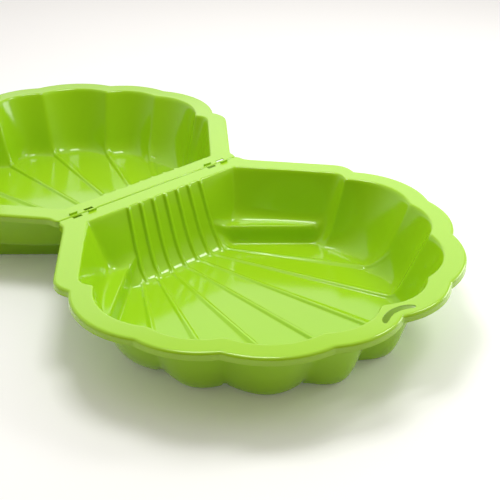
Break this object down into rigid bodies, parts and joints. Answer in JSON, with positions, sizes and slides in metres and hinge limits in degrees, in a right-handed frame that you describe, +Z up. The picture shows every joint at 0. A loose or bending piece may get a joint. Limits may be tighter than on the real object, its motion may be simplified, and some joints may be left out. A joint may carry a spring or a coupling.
{
  "type": "shell sandbox with cover",
  "caption": "Scallop-shell play tray with ribbed back and corner seats, hinged along its straight edge to an identical half that closes over it as a cover.",
  "frame": {"origin": "on the ground, under the middle of the hinge line where the two open halves meet; X = 0 and Y = 0 are the middle of the whole object", "axes": "+X along the hinge line, to the right when facing the cover from the tray; +Y from the tray's scalloped front towards the cover; +Z up"},
  "size_m": [1.0298, 1.7738, 0.196],
  "materials": {
    "moulded_green": "glossy"
  },
  "bodies": {
    "sandbox": {"sandbox_shell": "moulded_green"},
    "cover": {"cover_shell": "moulded_green"}
  },
  "joints": [
    {"name": "cover_hinge", "type": "hinge", "parent": "sandbox", "child": "cover", "pos_m": [0, 0, 0.19025], "axis": [1, 0, 0], "range_deg": [0, 180]}
  ]
}
